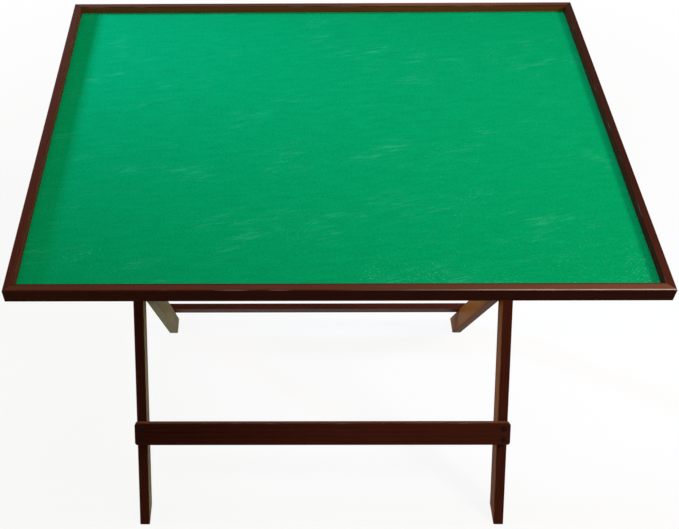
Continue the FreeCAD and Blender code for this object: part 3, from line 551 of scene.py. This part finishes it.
def zinc_plated_steel():
    """Mild steel, cold-headed or stamped, tumbled and zinc plated. The eye gets a soft bluish-white metal
    with faint clouds in its gloss and no sharp mirror image."""
    material, tree, place = new_material("zinc_plated_steel")
    cloud = add(tree, "TexNoise", {"Vector": place.outputs["Object"], "Scale": 1 / ZINC_CLOUD, "Detail": 4})
    colour = add(tree, "Mix", {
        0: cloud, MIX_A: linear(ZINC_DULL), MIX_B: linear(ZINC_BRIGHT)}, data_type="RGBA")
    gloss = add(tree, "MapRange", {
        "Value": cloud, "From Min": 0.3, "From Max": 0.7, "To Min": 0.26, "To Max": 0.4})
    tumbled = add(tree, "TexNoise", {
        "Vector": place.outputs["Object"], "Scale": 1 / TUMBLE_MARK, "Detail": 2})
    bump = add(tree, "Bump", {"Height": tumbled, "Strength": 0.2, "Distance": TUMBLE_RELIEF})
    shader = add(tree, "BsdfPrincipled", {
        "Base Color": colour, "Metallic": 1.0, "Roughness": gloss, "Normal": bump})
    add(tree, "OutputMaterial", {"Surface": shader})
    return material


def moulded_cover_plastic():
    """Polyethylene, injection moulded in dark brown. The eye gets a waxy half gloss over a fine spark-eroded
    grain, a little lighter where the flow met."""
    material, tree, place = new_material("moulded_cover_plastic")
    flow = add(tree, "TexNoise", {"Vector": place.outputs["Object"], "Scale": 1 / FLOW_WIDTH, "Detail": 2})
    colour = add(tree, "Mix", {
        0: flow, MIX_A: linear(COVER_DARK), MIX_B: linear(COVER_LIGHT)}, data_type="RGBA")
    grain = add(tree, "TexNoise", {"Vector": place.outputs["Object"], "Scale": 1 / SPARK_GRAIN, "Detail": 2})
    bump = add(tree, "Bump", {"Height": grain, "Strength": 0.3, "Distance": SPARK_RELIEF})
    shader = add(tree, "BsdfPrincipled", {
        "Base Color": colour, "Roughness": 0.34, "Specular IOR Level": 0.04, "Normal": bump})
    add(tree, "OutputMaterial", {"Surface": shader})
    return material


STEEL, COVER_PLASTIC = zinc_plated_steel(), moulded_cover_plastic()
for node in ("front_stretcher_screws", "rear_stretcher_screws", "hinge_dowel_pins", "catch_dowel_pins"):
    nodes[node].data.materials[0] = STEEL

# From here to the plugs, the sizes of turned and punched pieces are in millimetres.
SEGMENTS = 48
THREAD_PITCH, THREAD_DEPTH = 1.0, 0.55
ARM_WIDTH, ARM_REACH, RECESS_DEPTH, RECESS_SOFT = 0.6, 2.2, 1.5, 0.25


def cross_recess(x, y):
    """How deep the driver's cross is sunk at a point: two arms at right angles with walls that slope over
    RECESS_SOFT, deepest where they meet and rising evenly to nothing just past their ends."""
    def within(u, half):
        return np.clip((half - np.abs(u)) / RECESS_SOFT + 0.5, 0, 1)
    arms = np.maximum(
        within(x, ARM_WIDTH) * within(y, ARM_REACH), within(y, ARM_WIDTH) * within(x, ARM_REACH))
    return RECESS_DEPTH * arms * np.clip(1.15 - np.hypot(x, y) / ARM_REACH, 0, 1)


def turned(rows):
    """Rings of points about the Z axis, in metres, one for each row: radius, height, corner, slope, cut and
    thread, the last four nought where they are left out. The ring is a circle, or at corner 1 the hexagon
    round it, whose reach is the radius over the cosine of the angle from the nearest flat's middle. Its
    height rises by slope for each millimetre of reach past the radius and by cut times the driver's cross,
    and a thread takes off up to its depth, as a triangle wave along a helix."""
    table = np.array([row + (0,) * (6 - len(row)) for row in rows], float)
    radius, height, corner, slope, cut, thread = table.T[:, :, None]
    angle = np.arange(SEGMENTS) * 2 * math.pi / SEGMENTS
    from_flat = (angle + math.pi / 6) % (math.pi / 3) - math.pi / 6
    helix = np.abs(2 * ((height / THREAD_PITCH - angle / (2 * math.pi)) % 1) - 1)
    reach = radius * (1 + corner * (1 / np.cos(from_flat) - 1)) - thread * THREAD_DEPTH * helix
    x, y = reach * np.cos(angle), reach * np.sin(angle)
    z = height + slope * (reach - radius) + cut * cross_recess(x, y)
    return np.stack([x, y, z], axis=-1) * MM


def solid(rows):
    """A turned solid: its first and last rows are points on the axis, and the rest go up its outside."""
    grid = turned(rows)
    points = np.concatenate([grid[0, :1], grid[1:-1].reshape(-1, 3), grid[-1, :1]])
    this = np.arange(SEGMENTS)
    after, foot, top = np.roll(this, -1), np.zeros_like(this), np.full_like(this, len(points) - 1)
    last = 1 + (len(rows) - 3) * SEGMENTS
    faces = (quads(len(rows) - 2, SEGMENTS, wrap_columns=True) + 1).tolist()
    faces += np.stack([foot, after + 1, this + 1], axis=-1).tolist()
    faces += np.stack([top, this + last, after + last], axis=-1).tolist()
    return points, faces


def ring(rows):
    """A turned ring: its rows go up its outside and down its hole, and the last joins the first."""
    return turned(rows).reshape(-1, 3), quads(len(rows), SEGMENTS, wrap_rows=True, wrap_columns=True).tolist()


def standing(origin, axis, spin=0.0):
    """The place of a copy: its Z axis along an axis, its origin at a point, and its turn about that axis in
    degrees."""
    turn = Vector(axis).to_track_quat("Z", "Y").to_matrix().to_4x4()
    return Matrix.Translation(origin) @ turn @ Matrix.Rotation(math.radians(spin), 4, "Z")


def copies(shape, places):
    """The shape that holds a copy of one shape at each place."""
    points, faces = shape
    placed = [points @ np.array(place)[:3, :3].T + np.array(place)[:3, 3] for place in places]
    return np.concatenate(placed), [
        [corner + index * len(points) for corner in face] for index in range(len(placed)) for face in faces]


HEAD_RADIUS, HEAD_DEPTH, SHANK_RADIUS, SCREW_TIP = 4.0, 2.4, 2.0, 4.0
CROWN_RADIUS, CROWN_RISE, SHOULDER_FOOT, HEAD_BREAK = 3.2, 0.45, 0.7, 0.1
COLUMN_SPIN, LINE_SPIN = 37, 61  # degrees by which each screw is driven further than its neighbours


def pan_head_screw(length):
    """A screw that points up, with its head's underside at zero: a crown that falls by CROWN_RISE as the
    square of the radius and holds the driver's cross, a quarter-ellipse shoulder, a shank and a point."""
    crown = [(r, -HEAD_DEPTH + CROWN_RISE * (r / HEAD_RADIUS) ** 2, 0, 0, 1)
             for r in np.linspace(0, CROWN_RADIUS, 20)]
    start = crown[-1][1]
    shoulder = [(CROWN_RADIUS + (HEAD_RADIUS - CROWN_RADIUS) * math.sin(a),
                 -SHOULDER_FOOT + (start + SHOULDER_FOOT) * math.cos(a))
                for a in np.linspace(0.3, math.pi / 2, 5)]
    return solid(crown + shoulder + [
        (HEAD_RADIUS, -HEAD_BREAK), (HEAD_RADIUS - HEAD_BREAK, 0), (SHANK_RADIUS, 0),
        (SHANK_RADIUS, length - SCREW_TIP), (0, length)])


def tray_screws(node, columns, lines):
    """The screws of one node, heads down, at every crossing of its columns and lines in millimetres from the
    tray's middle. Each is driven to a turn of its own."""
    low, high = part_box(node)
    seat = low.z + HEAD_DEPTH * MM
    places = [standing((x * MM, y * MM, seat), UP, COLUMN_SPIN * i + LINE_SPIN * j)
              for i, x in enumerate(columns) for j, y in enumerate(lines)]
    shape = copies(pan_head_screw((high.z - seat) / MM), places)
    put(node.replace("screws", "pan_head_screws"), shape, STEEL, "tray", node)


tray_screws("bearer_screws", (-343, 343), (-230, 0, 230))
tray_screws("batten_screws", (-300, -100, 100, 300), (-262, 262))
tray_screws("catch_block_screws", (-280, -268, 268, 280), (-222.15,))

BOLT_RADIUS, BOLT_HEAD_RADIUS, BOLT_HEAD_DEPTH, THREAD_LENGTH = 3.0, 8.0, 3.0, 12.0
BEVEL_WIDTH, BEVEL_DROP, BOLT_HEAD_BREAK, BOLT_CHAMFER = 3, 1.5, 0.15, 0.5
SOCKET_RADIUS, SOCKET_DEPTH = 2.0, 2.4


def socket_bolt(length):
    """A bolt that points up, with its head's underside at zero: a flat round head with a hexagon socket and a
    wide domed bevel, a plain shank, and a thread that ends in a chamfer."""
    outer = -BOLT_HEAD_DEPTH
    socket = [(0, outer + SOCKET_DEPTH + 0.6), (SOCKET_RADIUS, outer + SOCKET_DEPTH, 1),
              (SOCKET_RADIUS, outer + 0.25, 1), (SOCKET_RADIUS + 0.2, outer + 0.02, 1),
              (SOCKET_RADIUS + 0.9, outer)]
    bevel = [(BOLT_HEAD_RADIUS - BEVEL_WIDTH * (1 - math.sin(a)), outer + BEVEL_DROP * (1 - math.cos(a)))
             for a in np.linspace(0, math.pi / 2, 9)]
    under_head = [(BOLT_HEAD_RADIUS, -BOLT_HEAD_BREAK), (BOLT_HEAD_RADIUS - BOLT_HEAD_BREAK, 0),
                  (BOLT_RADIUS, 0)]
    plain, chamfer = length - THREAD_LENGTH, length - BOLT_CHAMFER
    turns = [(BOLT_RADIUS - 0.02, z, 0, 0, 0,
              min(1, (z - plain) / THREAD_PITCH, (chamfer - z) / BOLT_CHAMFER + 0.3))
             for z in np.arange(plain, chamfer, THREAD_PITCH / 8)]
    return solid(socket + bevel + under_head + turns + [(BOLT_RADIUS - 0.6, length), (0, length)])


NUT_RADIUS, NUT_DEPTH, NUT_CHAMFER, NUT_BORE_CHAMFER = 5.0, 5.0, 4.75, 0.45
CHAMFER_SLOPE = 0.577  # the tangent of 30 degrees
NUT_DROP = CHAMFER_SLOPE * (NUT_RADIUS - NUT_CHAMFER)
HEXAGON_NUT = ring([
    (NUT_CHAMFER, 0), (NUT_RADIUS, NUT_DROP, 1, CHAMFER_SLOPE),
    (NUT_RADIUS, NUT_DEPTH - NUT_DROP, 1, -CHAMFER_SLOPE), (NUT_CHAMFER, NUT_DEPTH),
    (BOLT_RADIUS + NUT_BORE_CHAMFER, NUT_DEPTH), (BOLT_RADIUS, NUT_DEPTH - NUT_BORE_CHAMFER),
    (BOLT_RADIUS, NUT_BORE_CHAMFER), (BOLT_RADIUS + NUT_BORE_CHAMFER, 0)])

WASHER_DEPTH, ROLL_WIDTH, ROLL_DEPTH, WASHER_BREAK = 1.7, 0.35, 0.4, 0.08
PIVOT_WASHER, HINGE_WASHER = (9, 3), (16, 10)  # outer radius and hole's


def punched_washer(outer, hole):
    """A washer as a punch leaves it: both outer and hole edges rolled over by a quarter ellipse on the upper
    face, and nearly square on the lower."""
    roll, start = np.linspace(0, math.pi / 2, 5), WASHER_DEPTH - ROLL_DEPTH
    outside = [(outer - ROLL_WIDTH * (1 - math.cos(a)), start + ROLL_DEPTH * math.sin(a)) for a in roll]
    inside = [(hole + ROLL_WIDTH * (1 - math.sin(a)), start + ROLL_DEPTH * math.cos(a)) for a in roll]
    return ring([(outer - WASHER_BREAK, 0), (outer, WASHER_BREAK)] + outside + inside + [
        (hole, WASHER_BREAK), (hole + WASHER_BREAK, 0)])


LEFTWARD, RIGHTWARD = (-1, 0, 0), (1, 0, 0)
LEFT_SPIN, RIGHT_SPIN, BOLT_SPIN = 17, 41, 9  # degrees by which each was turned as it went on


def pair(node, inset=0):
    """Two places at the two ends of a node's box, or inset from them, that face the table's middle."""
    low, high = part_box(node)
    y, z = middle(node).yz
    return [standing((low.x + inset * MM, y, z), RIGHTWARD, LEFT_SPIN),
            standing((high.x - inset * MM, y, z), LEFTWARD, RIGHT_SPIN)]


for side, towards_middle in (("left", RIGHTWARD), ("right", LEFTWARD)):
    node = f"{side}_pivot_bolt"
    low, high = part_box(node)
    under_head = BOLT_HEAD_DEPTH * MM
    seat = (low.x + under_head if side == "left" else high.x - under_head, *middle(node).yz)
    bolt = socket_bolt((high.x - low.x - under_head) / MM)
    put(f"{side}_socket_bolt", copies(bolt, [standing(seat, towards_middle, BOLT_SPIN)]), STEEL,
        "outer_frame", node)

for name, shape, places, node in (
        ("chamfered_nuts", HEXAGON_NUT, pair("pivot_nuts"), "pivot_nuts"),
        ("pivot_ring_washers", punched_washer(*PIVOT_WASHER),
         pair("pivot_washers") + pair("pivot_nuts", -WASHER_DEPTH), "pivot_washers"),
        ("hinge_ring_washers", punched_washer(*HINGE_WASHER), pair("hinge_washers"), "hinge_washers")):
    put(name, copies(shape, places), STEEL, "outer_frame", node)

PLUG_RADIUS, PLUG_DEPTH, PLUG_PROUD, PLUG_SPACING = 5.25, 3.9, 0.8, 20.0
LIP_WIDTH, DOME_FALL = 0.3, 0.48


def domed_plug():
    """A moulded cover whose lip is at zero and whose top is at PLUG_PROUD: a dome that falls as the square
    of the radius, a rolled lip, and a body that tapers into the bore."""
    foot = PLUG_PROUD - PLUG_DEPTH
    body = [(0, foot), (PLUG_RADIUS - 0.7, foot), (PLUG_RADIUS - 0.3, foot + 0.5), (PLUG_RADIUS - 0.05, -0.1),
            (PLUG_RADIUS, 0)]
    lip = [(PLUG_RADIUS - LIP_WIDTH * (1 - math.cos(a)), LIP_WIDTH * math.sin(a))
           for a in np.linspace(0.3, 1.4, 4)]
    dome = [(r, PLUG_PROUD - DOME_FALL * (r / PLUG_RADIUS) ** 2)
            for r in np.linspace(PLUG_RADIUS - 0.45, 0, 9)]
    return solid(body + lip + dome)


def reach_along(node, direction):
    """The lowest and highest reach of a node's points along a direction."""
    mesh = nodes[node].data
    points = np.empty(3 * len(mesh.vertices))
    mesh.vertices.foreach_get("co", points)
    reach = points.reshape(-1, 3) @ np.array(direction)
    return reach.min(), reach.max()


def cover_plugs(node, leg_run, outward, body):
    """The four covers of a stretcher, on its face: two over each leg, PLUG_SPACING apart along the leg."""
    run = leg_run.normalized()
    out = run.cross(ACROSS) * outward
    face = reach_along(node, out)[1] - PLUG_PROUD * MM
    along = sum(reach_along(node, run)) / 2
    low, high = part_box(node)
    places = [standing(Vector((x, 0, 0)) + run * (along + step * MM) + out * face, out)
              for x in (low.x + PLUG_RADIUS * MM, high.x - PLUG_RADIUS * MM)
              for step in (-PLUG_SPACING / 2, PLUG_SPACING / 2)]
    name = node.replace("plugs", "cover_plugs")
    put(name, copies(domed_plug(), places), COVER_PLASTIC, body, node)


cover_plugs("front_stretcher_plugs", OUTER_FRAME_RUN, 1, "outer_frame")
cover_plugs("rear_stretcher_plugs", INNER_FRAME_RUN, -1, "inner_frame")


# ---------------------------------------------------------------- stage and light

PAPER_SEEN, PAPER_GIVING = "FAFAFA", "86735F"
FLOOR_GLOW = 0.9  # share of plain white light in what is seen of the floor under the table
GLOW_FROM, GLOW_TO = 0.75, 1.9  # metres from the table's middle, over which that share rises to all
FLOOR_REACH = 30
# The room's light: SIDE_LIGHT from every side, and more towards straight overhead.
SIDE_LIGHT, OVERHEAD_LIGHT, OVERHEAD_POWER = 0.09, 0.26, 2
LAMPS = (  # name, place, target, side, radiance, colour and spread
    ("window_left", (-1.9, 0.55, 1.15), (-0.25, 0.22, 0.68), 0.22, 30, "82BEFF", 40),
    ("softbox_back", (-0.1, 0.9, 2.1), (-0.1, -0.2, 0.68), 0.5, 8, "ECF2F4", 180),
    ("lamp_middle", (0.45, -0.25, 1.75), (0.10, -0.1, 0.68), 0.45, 5.2, "FFF1E0", 180),
    ("lamp_right", (2.00, -0.45, 2.10), (0.2, 0, 0.68), 0.5, 40, "FFF1E0", 180),
    ("low_softbox_left", (-1.7, 0.00, 0.45), (0.35, 0, 0.45), 0.4, 5, "FFE2B4", 60),
    ("low_softbox_right", (1.7, 0.00, 0.45), (-0.35, 0, 0.45), 0.4, 6, "FFFAF2", 60),
)


def seen_share(tree):
    """One for rays from the camera, a mirror or a glass, zero for light that lands on a matt surface."""
    path = add(tree, "LightPath")
    mirrored = add(tree, "Math", {
        0: path.outputs["Is Glossy Ray"], 1: path.outputs["Is Transmission Ray"]}, operation="MAXIMUM")
    return add(tree, "Math", {0: path.outputs["Is Camera Ray"], 1: mirrored}, operation="MAXIMUM")


def floor_paper():
    """Seamless paper sweep. What looks at it gets near white with the table's shadow, and away from the
    table it turns to plain white light, as the world is; what it throws back is held down, as in a darker
    room."""
    material, tree, place = new_material("floor_paper")
    seen = seen_share(tree)
    distance = add(tree, "VectorMath", {0: place.outputs["Object"]}, operation="LENGTH")
    away = add(tree, "MapRange", {
        "Value": distance, "From Min": GLOW_FROM, "From Max": GLOW_TO}, interpolation_type="SMOOTHSTEP")
    plain = add(tree, "Math", {0: away, 1: 1 - FLOOR_GLOW, 2: FLOOR_GLOW}, operation="MULTIPLY_ADD")
    glow = add(tree, "Math", {0: plain, 1: seen}, operation="MULTIPLY")
    colour = add(tree, "Mix", {
        0: seen, MIX_A: linear(PAPER_GIVING), MIX_B: linear(PAPER_SEEN)}, data_type="RGBA")
    paper = add(tree, "BsdfDiffuse", {"Color": colour})
    light = add(tree, "Emission", {"Color": linear(WHITE), "Strength": 1.0})
    shader = add(tree, "MixShader", {0: glow, 1: paper, 2: light})
    add(tree, "OutputMaterial", {"Surface": shader})
    return material


def softbox(name, place, target, side, radiance, colour, spread):
    """A square area light of a side and radiance, that faces a target. Below 180 degrees of spread it has a
    grid that narrows it. It lights, but doesn't show, and one with a grid doesn't show in gloss either."""
    data = bpy.data.lights.new(name, "AREA")
    data.shape = "SQUARE"
    data.size = side
    data.spread = math.radians(spread)
    data.energy = radiance * math.pi * side ** 2
    data.color = linear(colour)[:3]
    lamp = bpy.data.objects.new(name, data)
    bpy.context.scene.collection.objects.link(lamp)
    lamp.location = place
    lamp.rotation_euler = (Vector(target) - Vector(place)).to_track_quat("-Z", "Y").to_euler()
    lamp.visible_camera = False
    lamp.visible_glossy = spread == 180


floor_mesh = bpy.data.meshes.new("floor")
corners = FLOOR_REACH * np.array([(-1, -1, 0), (1, -1, 0), (1, 1, 0), (-1, 1, 0)])
floor_mesh.from_pydata(corners.tolist(), [], [(0, 1, 2, 3)])
floor = bpy.data.objects.new("floor", floor_mesh)
bpy.context.scene.collection.objects.link(floor)
floor_mesh.materials.append(floor_paper())

world = bpy.data.worlds.new("studio")
bpy.context.scene.world = world
world.use_nodes = True
world.node_tree.nodes.clear()
sky = world.node_tree
ray = add(sky, "TexCoord")
parts = add(sky, "SeparateXYZ", {"Vector": ray.outputs["Generated"]})
upward = add(sky, "Math", {0: parts.outputs["Z"], 1: 0}, operation="MAXIMUM")
overhead = add(sky, "Math", {0: upward, 1: OVERHEAD_POWER}, operation="POWER")
given = add(sky, "Math", {0: overhead, 1: OVERHEAD_LIGHT, 2: SIDE_LIGHT}, operation="MULTIPLY_ADD")
strength = add(sky, "Mix", {0: seen_share(sky), MIX_LOW: given, MIX_HIGH: 1.0}, data_type="FLOAT")
background = add(sky, "Background", {"Color": linear(WHITE), "Strength": strength})
add(sky, "OutputWorld", {"Surface": background})

for lamp in LAMPS:
    softbox(*lamp)

bpy.context.scene.view_settings.view_transform = "Standard"
